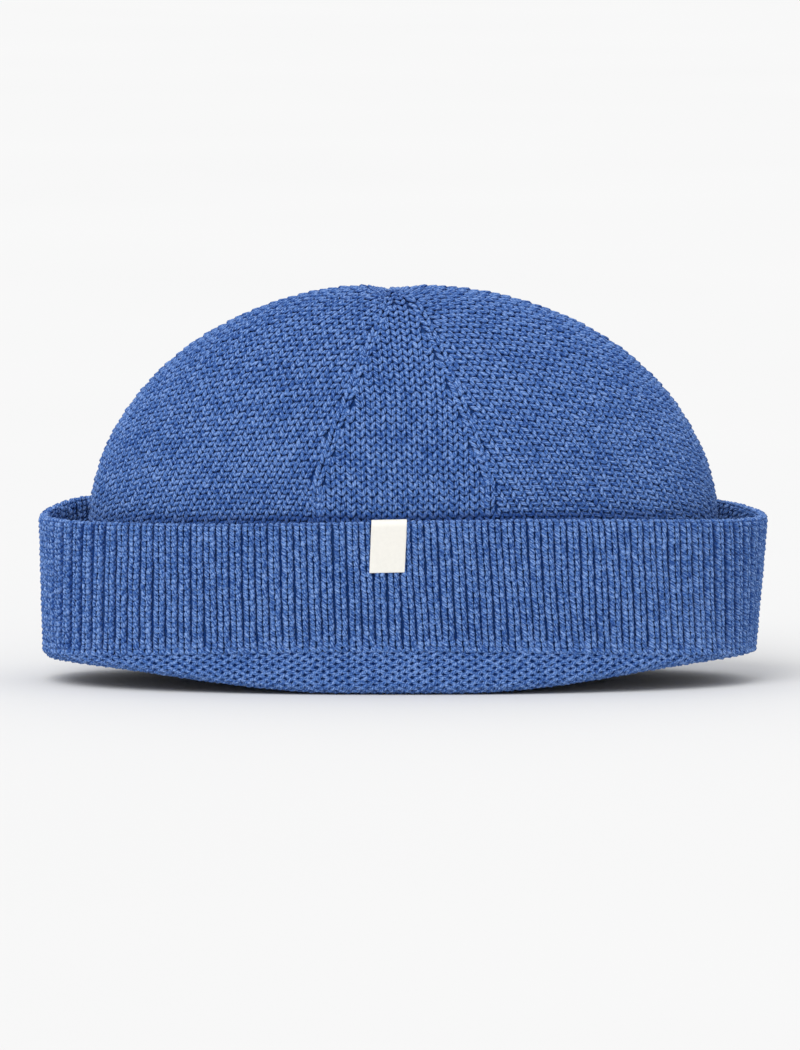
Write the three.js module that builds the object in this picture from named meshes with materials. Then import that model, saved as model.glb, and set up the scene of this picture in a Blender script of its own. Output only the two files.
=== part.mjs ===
// A knitted fisherman beanie standing on a table, in millimetres, with +Z up.
// The front faces -Y, and the origin is on the table, at the middle of the hat.
// The crown's knit runs down inside, turns up at the rim in a narrow purl band
// and ends in a ribbed cuff. Each piece stands clear of the next by one gap.
import * as THREE from 'three';

// Driving sizes of the knit
const CROWN_WALL = 3.0;
const CUFF_WALL = 3.6;
const RIB_DEPTH = 1.2;
const RIB_PITCH = 4.05;
const PIECE_GAP = 0.3;

// Ribbed cuff: half sizes of its outer face at the top edge and above the purl band
const CUFF_TOP_HALF_WIDTH = 110.2;
const CUFF_TOP_HALF_DEPTH = 47.6;
const CUFF_FOOT_HALF_WIDTH = 107.6;
const CUFF_FOOT_HALF_DEPTH = 46.4;
const CUFF_HEIGHT = 52.4;
const CUFF_CORNER_DIP = 1.9;
const CUFF_EDGE_SWAY = 0.7;
const CUFF_FOOT_DRIFT = -1.2;
const CUFF_BACK_LEFT_RISE = 4.2;
const CUFF_BACK_RIGHT_RISE = 1.7;
const CUFF_BACK_RISE_REACH = 0.75;

// Turned rim: the flat stretch it stands on, the lift of its two corners, its height
const RIM_FLAT_HALF = 16.0;
const RIM_LEFT_LIFT = 7.0;
const RIM_RIGHT_LIFT = 8.4;
const RIM_ROUND = 3.0;
const PURL_TOP_FRONT = 13.4;
const PURL_TOP_CORNER = 9.6;
const TURN_INNER_LEG = 9.0;
const TURN_SLOT = 1.6;

// Crown: half sizes of its outer face at the shoulder, where the dome begins
const CROWN_HALF_WIDTH = 94.4;
const CROWN_HALF_DEPTH = 42.0;
const SHOULDER_HEIGHT = 49.0;
const CROWN_HEIGHT = 119.4;
const CLOSING_OFFSET = -4.7;
const DIMPLE_DEPTH = 1.8;
const DIMPLE_RADIUS = 6.0;
const GORE_GROOVE = 0.7;
const FRONT_GORE_HALF_WIDTH = 26.5;
const DECREASE_START = 63.0;
const GORE_STRAIGHTNESS = 0.7;

// Label folded over the cuff's top edge
const LABEL_WIDTH = 10.8;
const LABEL_FRONT = 16.0;
const LABEL_BACK = 7.0;
const LABEL_THICKNESS = 0.7;
const LABEL_CENTRE = -4.3;
const LABEL_LEAN = 0.6;

// Plain numbers of the forms: exponents of the oval rings and of the dome's outline
const OVAL_POWER = 2.4;
const ROUND_POWER = 2.0;
const DOME_WIDTH_POWER = 2.2;
const DOME_DEPTH_POWER = 2.0;
const DOME_RISE_POWER = 1.85;
const CLOSING_DRIFT_POWER = 4;
const RIB_CROWDING = 0.35;
const RIB_CROWDING_FLOOR = 0.5;

// Mesh steps
const GORE_COUNT = 6;
const STEPS_PER_GORE = 14;
const DOME_STEPS = 12;
const TUBE_STEPS = 3;
const TURN_STEPS = 80;
const FINE_STEPS = 2880;

const FRONT = -Math.PI / 2;

// Distance from the centre to an oval ring along a plan angle
function ringRadius(halfWidth, halfDepth, power, angle) {
  const x = Math.abs(Math.cos(angle) / halfWidth) ** power;
  const y = Math.abs(Math.sin(angle) / halfDepth) ** power;
  return (x + y) ** (-1 / power);
}

// Point of an oval ring at a plan angle, moved outward along the ring's normal
function ringPoint(halfWidth, halfDepth, power, angle, offset) {
  const radius = ringRadius(halfWidth, halfDepth, power, angle);
  const x = radius * Math.cos(angle);
  const y = radius * Math.sin(angle);
  const nx = Math.sign(x) * Math.abs(x / halfWidth) ** (power - 1) / halfWidth;
  const ny = Math.sign(y) * Math.abs(y / halfDepth) ** (power - 1) / halfDepth;
  const length = Math.hypot(nx, ny);
  return [x + offset * nx / length, y + offset * ny / length];
}

// Plan angles that share a ring evenly along its length, a little closer together
// on the long faces, where the rib is not stretched round an end
function evenAngles(count, halfWidth, halfDepth, power) {
  const reached = [0];
  for (let i = 0; i < FINE_STEPS; i += 1) {
    const from = FRONT + 2 * Math.PI * i / FINE_STEPS;
    const to = FRONT + 2 * Math.PI * (i + 1) / FINE_STEPS;
    const [x0, y0] = ringPoint(halfWidth, halfDepth, power, from, 0);
    const [x1, y1] = ringPoint(halfWidth, halfDepth, power, to, 0);
    const length = Math.hypot(x1 - x0, y1 - y0);
    const facing = Math.abs(x1 - x0) / length;
    const weight = (facing ** 2 + RIB_CROWDING_FLOOR ** 2) ** (RIB_CROWDING / 2);
    reached.push(reached[i] + length * weight);
  }
  const total = reached[FINE_STEPS];
  const angles = [];
  let step = 0;
  for (let k = 0; k < count; k += 1) {
    const wanted = total * k / count;
    while (reached[step + 1] < wanted) step += 1;
    const share = (wanted - reached[step]) / (reached[step + 1] - reached[step]);
    angles.push(FRONT + 2 * Math.PI * (step + share) / FINE_STEPS);
  }
  return angles;
}

function ringLength(halfWidth, halfDepth, power) {
  let length = 0;
  for (let i = 0; i < FINE_STEPS; i += 1) {
    const from = ringPoint(halfWidth, halfDepth, power, 2 * Math.PI * i / FINE_STEPS, 0);
    const to = ringPoint(halfWidth, halfDepth, power, 2 * Math.PI * (i + 1) / FINE_STEPS, 0);
    length += Math.hypot(to[0] - from[0], to[1] - from[1]);
  }
  return length;
}

const mix = (from, to, share) => from + (to - from) * share;
const clamp = (value, low, high) => Math.min(Math.max(value, low), high);

// Height of the rim's underside: flat in front and behind, lifted at both corners
function rimHeight(x) {
  const flat = RIM_FLAT_HALF / CUFF_FOOT_HALF_WIDTH;
  const share = clamp((Math.abs(x) / CUFF_FOOT_HALF_WIDTH - flat) / (1 - flat), 0, 1);
  const lift = x < 0 ? RIM_LEFT_LIFT : RIM_RIGHT_LIFT;
  return lift * (1 - Math.cos(Math.PI * share)) / 2;
}

// Height of the line where the purl band ends and the ribs begin
function purlTop(x) {
  const share = Math.min(Math.abs(x) / CUFF_FOOT_HALF_WIDTH, 1);
  return mix(PURL_TOP_FRONT, PURL_TOP_CORNER, share ** 2);
}

// Height of the cuff's top edge, which dips at the corners, sways a little and stands
// higher behind, most of all on the left
function cuffTop(x, y) {
  const share = clamp(x / CUFF_TOP_HALF_WIDTH, -1, 1);
  const edge = CUFF_HEIGHT - CUFF_CORNER_DIP * share ** 2 + CUFF_EDGE_SWAY * Math.sin(Math.PI * share);
  const behind = clamp(y / CUFF_TOP_HALF_DEPTH / CUFF_BACK_RISE_REACH, 0, 1);
  const rise = mix(CUFF_BACK_LEFT_RISE, CUFF_BACK_RIGHT_RISE, (1 + share) / 2);
  return edge + rise * (1 - Math.cos(Math.PI * behind)) / 2;
}

// Point of the outer face of cuff or turned rim: a plan angle, a share of the height
// from foot to top edge, and an offset outward
function cuffPlan(angle, share, offset) {
  const halfWidth = mix(CUFF_FOOT_HALF_WIDTH, CUFF_TOP_HALF_WIDTH, share);
  const halfDepth = mix(CUFF_FOOT_HALF_DEPTH, CUFF_TOP_HALF_DEPTH, share);
  const [x, y] = ringPoint(halfWidth, halfDepth, OVAL_POWER, angle, offset);
  return [x + CUFF_FOOT_DRIFT * (1 - share), y];
}

// Joins rings of points into one closed skin. The rings go up the outer face, over
// the top and down the inner face; a ring of one point is a pole.
function skin(rings) {
  const positions = [];
  const starts = [];
  rings.forEach((ring) => {
    starts.push(positions.length / 3);
    ring.forEach((point) => positions.push(...point));
  });
  const around = Math.max(...rings.map((ring) => ring.length));
  const index = [];
  rings.forEach((ring, k) => {
    const next = (k + 1) % rings.length;
    const at = (which, i) => starts[which] + (rings[which].length === 1 ? 0 : i % around);
    for (let i = 0; i < around; i += 1) {
      const corners = [at(k, i), at(k, i + 1), at(next, i + 1), at(next, i)];
      if (corners[0] !== corners[1]) index.push(corners[0], corners[1], corners[2]);
      if (corners[2] !== corners[3]) index.push(corners[0], corners[2], corners[3]);
    }
  });
  const geometry = new THREE.BufferGeometry();
  geometry.setAttribute('position', new THREE.Float32BufferAttribute(positions, 3));
  geometry.setIndex(index);
  geometry.computeVertexNormals();
  return geometry;
}

// The ribbed cuff. Its section is a row of stations: a share of the height above the
// purl band, the outward offset as a share of the wall, and which face ribs it.
const CUFF_SECTION = [
  { height: 0.0, depth: 0.0, rib: 1 },
  { height: 0.5, depth: 0.0, rib: 1 },
  { height: 0.94, depth: 0.0, rib: 1 },
  { height: 0.985, depth: 0.16, rib: 0.5 },
  { height: 1.0, depth: 0.5, rib: 0 },
  { height: 0.985, depth: 0.84, rib: -0.5 },
  { height: 0.94, depth: 1.0, rib: -1 },
  { height: 0.5, depth: 1.0, rib: -1 },
  { height: 0.0, depth: 1.0, rib: -1 },
];

function cuffGeometry() {
  const around = ringLength(CUFF_TOP_HALF_WIDTH, CUFF_TOP_HALF_DEPTH, OVAL_POWER);
  const ribs = 2 * Math.round(around / RIB_PITCH / 2);
  const angles = evenAngles(2 * ribs, CUFF_TOP_HALF_WIDTH, CUFF_TOP_HALF_DEPTH, OVAL_POWER);
  const rings = CUFF_SECTION.map(({ height, depth, rib }) => angles.map((angle, i) => {
    const crest = i % 2 === 0;
    const outer = rib > 0 && !crest ? -RIB_DEPTH * rib : 0;
    const inner = rib < 0 && crest ? -RIB_DEPTH * rib : 0;
    const [x, y] = cuffPlan(angle, height, outer + inner - CUFF_WALL * depth);
    return [x, y, mix(purlTop(x) + PIECE_GAP, cuffTop(x, y), height)];
  }));
  return skin(rings);
}

// The turned rim is a U in section: an outer leg up to the ribs, a rounded foot that
// is flat underneath, an open slot and an inner leg up to the crown's knit.
function turnGeometry() {
  const width = CUFF_WALL + TURN_SLOT + CROWN_WALL;
  const section = (outerLeg) => {
    const floor = Math.min(CROWN_WALL, 0.6 * outerLeg);
    const round = Math.min(RIM_ROUND, 0.8 * outerLeg);
    return [
      { offset: -width, height: TURN_INNER_LEG },
      { offset: -width, height: RIM_ROUND },
      { offset: -width + 0.3 * RIM_ROUND, height: 0.25 * RIM_ROUND },
      { offset: -width + 0.8 * RIM_ROUND, height: 0 },
      { offset: -0.8 * RIM_ROUND, height: 0 },
      { offset: -0.3 * RIM_ROUND, height: 0.25 * round },
      { offset: 0, height: round },
      { offset: 0, height: outerLeg },
      { offset: -CUFF_WALL, height: outerLeg },
      { offset: -CUFF_WALL, height: floor },
      { offset: -CUFF_WALL - TURN_SLOT, height: floor },
      { offset: -CUFF_WALL - TURN_SLOT, height: TURN_INNER_LEG },
    ];
  };
  const angles = evenAngles(TURN_STEPS, CUFF_FOOT_HALF_WIDTH, CUFF_FOOT_HALF_DEPTH, OVAL_POWER);
  const columns = angles.map((angle) => {
    const [footX] = cuffPlan(angle, 0, 0);
    const outerLeg = purlTop(footX) - rimHeight(footX);
    return section(outerLeg).map(({ offset, height }) => {
      const [x, y] = cuffPlan(angle, 0, offset);
      return [x, y, height === outerLeg ? purlTop(x) : rimHeight(x) + height];
    });
  });
  const rings = columns[0].map((_, k) => columns.map((column) => column[k]));
  return skin(rings);
}

// Plan angle of a station round the crown. The two gore lines that bound the front
// gore, and the two behind it, draw together towards the closing point.
function goreAngle(gore, share, halfWidth) {
  const frontHalf = Math.atan2(halfWidth, CROWN_HALF_DEPTH);
  const lines = [
    FRONT - frontHalf,
    FRONT + frontHalf,
    0,
    -FRONT - frontHalf,
    -FRONT + frontHalf,
    Math.PI,
    2 * Math.PI + FRONT - frontHalf,
  ];
  return mix(lines[gore], lines[gore + 1], share);
}

// Half width of the front gore on a ring that is drawn in to a share of the shoulder's
// depth. Seen from the front the gore lines run nearly straight up from the first
// decrease, where rings that shrink alone would bow them out.
function goreHalfWidth(rise, length) {
  const start = (DECREASE_START - SHOULDER_HEIGHT) / (CROWN_HEIGHT - SHOULDER_HEIGHT);
  const straight = Math.min(1, (1 - rise) / (1 - start)) / length;
  return FRONT_GORE_HALF_WIDTH * mix(1, straight, GORE_STRAIGHTNESS);
}

// One ring of the crown. Its face lies at a depth under the outer face: below the
// shoulder it is a tube inside the cuff, above it a dome turned by one angle.
function crownRing(turn, drop, depth) {
  const width = Math.cos(turn) ** (2 / DOME_WIDTH_POWER);
  const length = Math.cos(turn) ** (2 / DOME_DEPTH_POWER);
  const rise = Math.sin(turn) ** (2 / DOME_RISE_POWER);
  const tubeWidth = CUFF_FOOT_HALF_WIDTH - CUFF_WALL - TURN_SLOT;
  const tubeDepth = CUFF_FOOT_HALF_DEPTH - CUFF_WALL - TURN_SLOT;
  const halfWidth = mix(CROWN_HALF_WIDTH, tubeWidth, drop) * width;
  const halfDepth = mix(CROWN_HALF_DEPTH, tubeDepth, drop) * length;
  const power = mix(ROUND_POWER, OVAL_POWER, width);
  const centre = CLOSING_OFFSET * (1 - width) ** CLOSING_DRIFT_POWER + CUFF_FOOT_DRIFT * drop;
  const top = CROWN_HEIGHT - SHOULDER_HEIGHT;
  const inset = depth * Math.cos(turn);
  const frontGore = goreHalfWidth(rise, length);
  const ring = [];
  for (let gore = 0; gore < GORE_COUNT; gore += 1) {
    for (let step = 0; step < STEPS_PER_GORE; step += 1) {
      const angle = goreAngle(gore, step / STEPS_PER_GORE, frontGore);
      const groove = step === 0 ? GORE_GROOVE * Math.sin(2 * turn) : 0;
      const [x, y] = ringPoint(halfWidth, halfDepth, power, angle, -inset - groove);
      const reach = Math.hypot(x, y);
      const dimple = DIMPLE_DEPTH * Math.exp(-((reach / DIMPLE_RADIUS) ** 2));
      const shoulder = SHOULDER_HEIGHT + (top - depth) * rise - dimple;
      const foot = rimHeight(x + centre) + TURN_INNER_LEG + PIECE_GAP;
      ring.push([x + centre, y, mix(shoulder, foot, drop)]);
    }
  }
  return ring;
}

function crownGeometry() {
  const pole = (depth) => [[CLOSING_OFFSET, 0, CROWN_HEIGHT - depth - DIMPLE_DEPTH]];
  const outer = [];
  const inner = [];
  for (let i = TUBE_STEPS; i > 0; i -= 1) {
    outer.push(crownRing(0, i / TUBE_STEPS, 0));
    inner.unshift(crownRing(0, i / TUBE_STEPS, CROWN_WALL));
  }
  for (let i = 0; i < DOME_STEPS; i += 1) {
    const turn = Math.PI / 2 * (i / DOME_STEPS) ** 0.9;
    outer.push(crownRing(turn, 0, 0));
    inner.unshift(crownRing(turn, 0, CROWN_WALL));
  }
  return skin([...outer, pole(0), pole(CROWN_WALL), ...inner]);
}

// The label: one strip that hangs over the cuff's top edge, a short leaf behind it
// and a longer one in front, leaning a little
function labelGeometry() {
  const seat = PIECE_GAP;
  const outside = seat + LABEL_THICKNESS;
  const behind = -CUFF_WALL - seat;
  const path = (near) => {
    const lift = near ? seat : outside;
    const front = near ? seat : outside;
    const back = near ? behind : behind - LABEL_THICKNESS;
    return [
      { offset: front, height: -LABEL_FRONT },
      { offset: front, height: -LABEL_FRONT / 2 },
      { offset: front, height: -1.5 },
      { offset: mix(front, back, 0.12), height: lift - 0.4 },
      { offset: mix(front, back, 0.5), height: lift },
      { offset: mix(front, back, 0.88), height: lift - 0.4 },
      { offset: back, height: -1.5 },
      { offset: back, height: -LABEL_BACK },
    ];
  };
  const loop = [...path(false), ...path(true).reverse()];
  const columns = [0, 1 / 3, 2 / 3, 1].map((share) => loop.map(({ offset, height }) => {
    const along = LABEL_CENTRE + LABEL_WIDTH * (share - 0.5) + LABEL_LEAN * height / LABEL_FRONT;
    const top = cuffTop(along, -CUFF_TOP_HALF_DEPTH);
    const rise = clamp((top + height - PURL_TOP_FRONT) / (CUFF_HEIGHT - PURL_TOP_FRONT), 0, 1);
    const halfDepth = mix(CUFF_FOOT_HALF_DEPTH, CUFF_TOP_HALF_DEPTH, rise);
    const halfWidth = mix(CUFF_FOOT_HALF_WIDTH, CUFF_TOP_HALF_WIDTH, rise);
    const bow = (1 - Math.abs(along / halfWidth) ** OVAL_POWER) ** (1 / OVAL_POWER);
    return [along, -halfDepth * bow - offset, top + height];
  }));
  const positions = [];
  columns.forEach((column) => column.forEach((point) => positions.push(...point)));
  const count = loop.length;
  const index = [];
  for (let c = 0; c < columns.length - 1; c += 1) {
    for (let i = 0; i < count; i += 1) {
      const a = c * count + i;
      const b = c * count + (i + 1) % count;
      index.push(a, a + count, b + count);
      index.push(a, b + count, b);
    }
  }
  const last = (columns.length - 1) * count;
  for (let i = 0; i < count / 2 - 1; i += 1) {
    const j = count - 1 - i;
    index.push(i, i + 1, j - 1);
    index.push(i, j - 1, j);
    index.push(last + i, last + j - 1, last + i + 1);
    index.push(last + i, last + j, last + j - 1);
  }
  const geometry = new THREE.BufferGeometry();
  geometry.setAttribute('position', new THREE.Float32BufferAttribute(positions, 3));
  geometry.setIndex(index);
  geometry.computeVertexNormals();
  return geometry;
}

function knit(name, geometry, colour) {
  const material = new THREE.MeshStandardMaterial({ color: colour, roughness: 0.95, metalness: 0 });
  const mesh = new THREE.Mesh(geometry, material);
  mesh.name = name;
  return mesh;
}

const beanie = new THREE.Group();
beanie.add(knit('crown', crownGeometry(), 0x3d649c));
beanie.add(knit('turn_band', turnGeometry(), 0x365a8f));
beanie.add(knit('cuff', cuffGeometry(), 0x3a6097));
beanie.add(knit('label', labelGeometry(), 0xece8df));

export default beanie;
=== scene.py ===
"""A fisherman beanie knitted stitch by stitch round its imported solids: a gored stockinette
crown, a purl band at the turned rim, a ribbed cuff and a small bare label."""

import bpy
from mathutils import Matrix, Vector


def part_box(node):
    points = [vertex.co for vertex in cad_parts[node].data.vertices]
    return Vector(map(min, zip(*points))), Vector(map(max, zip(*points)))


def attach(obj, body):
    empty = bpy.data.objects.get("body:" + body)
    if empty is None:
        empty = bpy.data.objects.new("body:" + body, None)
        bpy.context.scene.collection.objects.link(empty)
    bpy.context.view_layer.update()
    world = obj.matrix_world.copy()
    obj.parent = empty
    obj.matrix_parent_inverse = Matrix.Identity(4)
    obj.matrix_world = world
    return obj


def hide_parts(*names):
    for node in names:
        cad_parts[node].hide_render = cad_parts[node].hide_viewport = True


bl_info = {
    "name": "Fisherman beanie",
    "version": (1, 0, 0),
    "blender": (4, 5, 0),
    "location": "View3D > Sidebar > Beanie",
    "description": "Knits a gored beanie with a ribbed cuff round its packed solids",
    "category": "Add Mesh",
}

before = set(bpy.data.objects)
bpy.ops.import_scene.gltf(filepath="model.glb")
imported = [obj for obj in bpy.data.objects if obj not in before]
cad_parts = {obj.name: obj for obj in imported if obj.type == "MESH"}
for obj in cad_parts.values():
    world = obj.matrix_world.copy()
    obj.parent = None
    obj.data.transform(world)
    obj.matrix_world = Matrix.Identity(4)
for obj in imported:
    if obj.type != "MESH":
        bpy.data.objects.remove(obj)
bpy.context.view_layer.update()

import math

import bpy
import numpy as np
from bpy.props import FloatProperty, FloatVectorProperty, IntProperty, PointerProperty
from mathutils import Vector

# The solids' boxes, in metres, from which the knit's sizes are worked out
_, CROWN_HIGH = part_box("crown")
_, CUFF_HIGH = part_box("cuff")
TURN_LOW, TURN_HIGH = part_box("turn_band")

MM = 0.001
FRONT = -math.pi / 2

# Cuff and turned rim, as the solids have them
CUFF_WALL = 3.6 * MM
CUFF_TOP_HALF_WIDTH = CUFF_HIGH.x
CUFF_TOP_HALF_DEPTH = CUFF_HIGH.y
CUFF_FOOT_HALF_WIDTH = (TURN_HIGH.x - TURN_LOW.x) / 2
CUFF_FOOT_HALF_DEPTH = TURN_HIGH.y
CUFF_FOOT_DRIFT = (TURN_HIGH.x + TURN_LOW.x) / 2
CUFF_HEIGHT = 52.4 * MM
CUFF_CORNER_DIP = 1.9 * MM
CUFF_EDGE_SWAY = 0.7 * MM
CUFF_BACK_LEFT_RISE = 4.2 * MM
CUFF_BACK_RIGHT_RISE = 1.7 * MM
CUFF_BACK_RISE_REACH = 0.75
RIM_FLAT_HALF = 16.0 * MM
RIM_LEFT_LIFT = 7.0 * MM
RIM_RIGHT_LIFT = 8.4 * MM
RIM_ROUND = 3.0 * MM
PURL_TOP_FRONT = 13.4 * MM
PURL_TOP_CORNER = 9.6 * MM
TURN_SLOT = 1.6 * MM
TURN_INNER_LEG = 9.0 * MM

# Crown, as the solid has it
CROWN_WALL = 3.0 * MM
CROWN_HALF_WIDTH = 94.4 * MM
CROWN_HALF_DEPTH = CROWN_HIGH.y
SHOULDER_HEIGHT = 49.0 * MM
CROWN_HEIGHT = 119.4 * MM
CLOSING_OFFSET = -4.7 * MM
DIMPLE_DEPTH = 1.8 * MM
DIMPLE_RADIUS = 6.0 * MM
FRONT_GORE_HALF_WIDTH = 26.5 * MM
DECREASE_START = 63.0 * MM
GORE_STRAIGHTNESS = 0.7
GORES = 6

# Label, folded over the cuff's edge left of the middle, where it presses the ribs down
LABEL_CENTRE = -4.3 * MM
LABEL_WIDTH = 10.5 * MM
LABEL_DROP = 15.2 * MM
LABEL_BACK = 7.0 * MM
LABEL_THICKNESS = 0.5 * MM
LABEL_LEAN = 0.6 * MM
LABEL_INSET = 0.4 * MM
LABEL_PRESS = 0.55 * MM
LABEL_PRESS_HALF_WIDTH = 6.2 * MM

# Exponents of the oval rings and of the dome's outline
OVAL_POWER = 2.4
ROUND_POWER = 2.0
DOME_WIDTH_POWER = 2.2
DOME_DEPTH_POWER = 2.0
DOME_RISE_POWER = 1.85
CLOSING_DRIFT_POWER = 4

# How far the ribs and purls crowd together where the cuff faces front or back
RIB_CROWDING = 0.35
RIB_CROWDING_FLOOR = 0.5

# The front ribs fan out downward: their slope in the middle, how much it grows to the right,
# and how much it falls to both sides
RIB_LEAN = 0.080
RIB_FAN = 0.115
RIB_FAN_DROP = 0.055

# Width of a rib or purl in the flat knitting, before it is laid round the hat
RIB_WALE = 4.0 * MM

# Yarn lies this far under the outer face, with a closed backing of knit under it
YARN_DEPTH = 0.62 * MM
BACKING_DEPTH = 1.25 * MM
RIB_BACKING_DEPTH = 1.15 * MM
FURROW_BACKING_DEPTH = 1.75 * MM
BACKING_THICKNESS = 0.7 * MM
SEAM_REACH = 0.02 * MM


def size_setting(name, description, default):
    return FloatProperty(name=name, description=description, default=default, unit="LENGTH")


def colour_setting(name, description, default):
    return FloatVectorProperty(
        name=name, description=description, size=3, subtype="COLOR", default=default
    )


class BeanieKnit(bpy.types.PropertyGroup):
    """Gauge of the knit."""

    wale: size_setting("Crown wale", "Width of one crown stitch", 3.05 * MM)
    row: size_setting("Crown row", "Height of one crown stitch", 2.1 * MM)
    rib_row: size_setting("Rib row", "Height of one rib stitch", 1.62 * MM)
    purl_row: size_setting("Purl row", "Height of one purl row", 2.1 * MM)
    ribs: IntProperty(name="Ribs", description="Ribs round the cuff", default=130)
    unevenness: FloatProperty(
        name="Unevenness", description="How far hand and wear shift each stitch", default=1.0
    )


class BeanieYarn(bpy.types.PropertyGroup):
    """Colours of yarn and label."""

    yarn: colour_setting("Yarn", "Wool's own colour", (0.064, 0.164, 0.450))
    fleck: colour_setting("Fleck", "Loose fibres that catch the light", (0.225, 0.365, 0.71))
    # Painted shade colour, laid on the wool where the yarn sinks between the stitches
    shade: colour_setting("Shade", "Wool deep between the stitches", (0.002, 0.034, 0.200))
    label: colour_setting("Label", "Cotton label tape", (0.86, 0.84, 0.78))


class BeanieStage(bpy.types.PropertyGroup):
    """Camera."""

    elevation: FloatProperty(
        name="Camera height", description="Camera's angle above the table",
        default=math.radians(5.0), unit="ROTATION",
    )
    distance: size_setting("Camera distance", "From lens to hat", 3.2)
    frame_height: size_setting("Frame height", "Height of the view at the hat", 0.316)
    aim_x: size_setting("Aim across", "Centre of view", -1.05 * MM)
    aim_z: size_setting("Aim up", "Centre of view", 46.8 * MM)


def mix(low, high, share):
    return low + (high - low) * share


def ramp(value, start, reach, most=1.0):
    """0 up to start, then rising by 1 over each reach, up to most."""
    return np.clip((value - start) / reach, 0, most)


def ease(share):
    """A smooth rise from 0 to 1."""
    return (1 - np.cos(math.pi * share)) / 2


def wave(value, seed, length):
    """A slow, smooth, repeatable sway between about -1 and 1."""
    phase = np.asarray(value) / length
    return (
        0.5 * np.sin(2.1 * phase + 1.7 * seed)
        + 0.3 * np.sin(4.7 * phase + 0.6 * seed + 1.3)
        + 0.2 * np.sin(9.3 * phase + 2.9 * seed + 0.4)
    )


# Forms of the hat, the same as the solids'

RING_STEPS = 2880


def ring(half_width, half_depth, power, angle, offset=0.0):
    """Plan point of an oval ring, moved outward along its normal."""
    cos, sin = np.cos(angle), np.sin(angle)
    radius = (np.abs(cos / half_width) ** power + np.abs(sin / half_depth) ** power) ** (-1 / power)
    x, y = radius * cos, radius * sin
    across = np.sign(x) * np.abs(x / half_width) ** (power - 1) / half_width
    along = np.sign(y) * np.abs(y / half_depth) ** (power - 1) / half_depth
    length = np.hypot(across, along)
    return x + offset * across / length, y + offset * along / length


def even_angles(count):
    """Plan angles that share the cuff's edge evenly, a little closer on its long faces."""
    angle = FRONT + np.linspace(0, 2 * math.pi, RING_STEPS + 1)
    x, y = ring(CUFF_TOP_HALF_WIDTH, CUFF_TOP_HALF_DEPTH, OVAL_POWER, angle)
    dx, dy = np.diff(x), np.diff(y)
    length = np.hypot(dx, dy)
    weight = ((dx / length) ** 2 + RIB_CROWDING_FLOOR**2) ** (RIB_CROWDING / 2)
    reached = np.concatenate([[0], np.cumsum(length * weight)])
    return np.interp(reached[-1] * np.arange(count) / count, reached, angle)


def rim_height(x):
    """How far the turned rim's foot is lifted, more towards the corners."""
    flat = RIM_FLAT_HALF / CUFF_FOOT_HALF_WIDTH
    share = ramp(np.abs(x) / CUFF_FOOT_HALF_WIDTH, flat, 1 - flat)
    return np.where(x < 0, RIM_LEFT_LIFT, RIM_RIGHT_LIFT) * ease(share)


def purl_top(x):
    """Height at which the purl band ends and the ribs begin."""
    share = np.minimum(np.abs(x) / CUFF_FOOT_HALF_WIDTH, 1)
    return mix(PURL_TOP_FRONT, PURL_TOP_CORNER, share**2)


def cuff_top(x, y):
    """Height of the cuff's top edge."""
    share = np.clip(x / CUFF_TOP_HALF_WIDTH, -1, 1)
    sway = CUFF_EDGE_SWAY * np.sin(math.pi * share)
    behind = ramp(y / CUFF_TOP_HALF_DEPTH, 0, CUFF_BACK_RISE_REACH)
    rise = mix(CUFF_BACK_LEFT_RISE, CUFF_BACK_RIGHT_RISE, (1 + share) / 2)
    return CUFF_HEIGHT - CUFF_CORNER_DIP * share**2 + sway + rise * ease(behind)


def rib_lean(cloth, across, up):
    """How many ribs further round the fanned ribs have come at these places of the cuff."""
    middle = cloth.place(across, up, 0.0 * up)
    beside = cloth.place(across + 2, up, 0.0 * up)
    x, y, z = middle.T
    side = x / CUFF_TOP_HALF_WIDTH
    slope = RIB_LEAN + RIB_FAN * side - RIB_FAN_DROP * side**2
    in_front = np.clip(0.5 - y / CUFF_TOP_HALF_DEPTH, 0, 1)
    return slope * in_front * (cuff_top(x, y) - z) / np.linalg.norm(beside - middle, axis=1)


def cuff_plan(angle, share, offset):
    """Plan point of the cuff at a share of its height."""
    half_width = mix(CUFF_FOOT_HALF_WIDTH, CUFF_TOP_HALF_WIDTH, share)
    half_depth = mix(CUFF_FOOT_HALF_DEPTH, CUFF_TOP_HALF_DEPTH, share)
    x, y = ring(half_width, half_depth, OVAL_POWER, angle, offset)
    return x + CUFF_FOOT_DRIFT * (1 - share), y


def gore_angles(gore, share, half_width):
    """Plan angle at a share of a gore; the front and back gores narrow to the closing point."""
    half = np.arctan2(half_width, CROWN_HALF_DEPTH)
    lines = [FRONT - half, FRONT + half, 0 * half, -FRONT - half, -FRONT + half,
             0 * half + math.pi, 2 * math.pi + FRONT - half]
    return mix(lines[gore], lines[gore + 1], share)


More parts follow.
